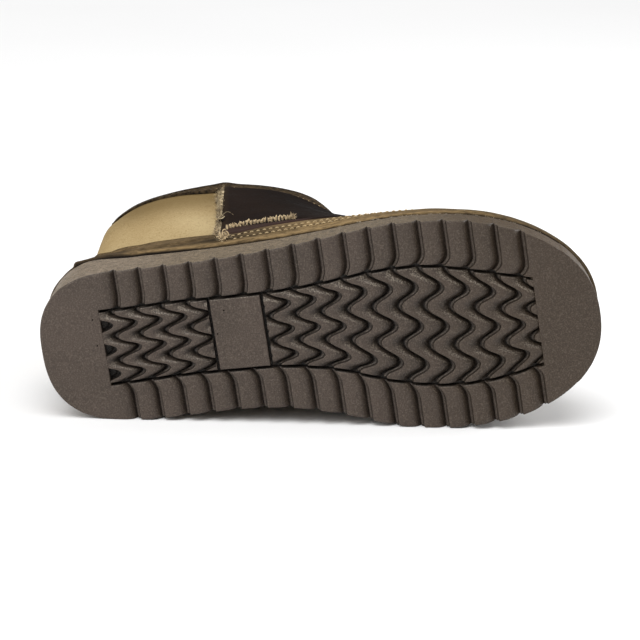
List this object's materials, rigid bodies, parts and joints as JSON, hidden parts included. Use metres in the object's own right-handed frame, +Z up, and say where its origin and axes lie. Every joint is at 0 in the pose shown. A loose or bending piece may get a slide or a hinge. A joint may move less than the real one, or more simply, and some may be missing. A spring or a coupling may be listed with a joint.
{
  "type": "slip-on winter boot",
  "caption": "Ankle-high slip-on winter boot for the right foot with a thick ripple-tread platform sole, suede vamp and foxing, leather shaft and fleece lining, lying on its inner side.",
  "frame": {"origin": "middle of the object's box, on the floor that the boot lies on", "axes": "+X from heel to toe, +Y from the tread to the collar, +Z up from the medial side that it lies on"},
  "size_m": [0.2622, 0.1442, 0.1001],
  "materials": {
    "outsole": "matte moulded foam rubber, dark brown, fine stipple",
    "insole": "short cream fleece",
    "upper": "beige napped leather outside, cream fleece inside",
    "vamp_foxing": "olive-brown suede with cream stitching",
    "front_panel": "dark brown smooth waxed leather with a raw fuzzy edge",
    "collar_binding": "dark olive suede, folded and stitched"
  },
  "bodies": {
    "root": {"outsole": "outsole", "insole": "insole", "upper": "upper", "vamp_foxing": "vamp_foxing", "front_panel": "front_panel", "collar_binding": "collar_binding"}
  },
  "joints": []
}
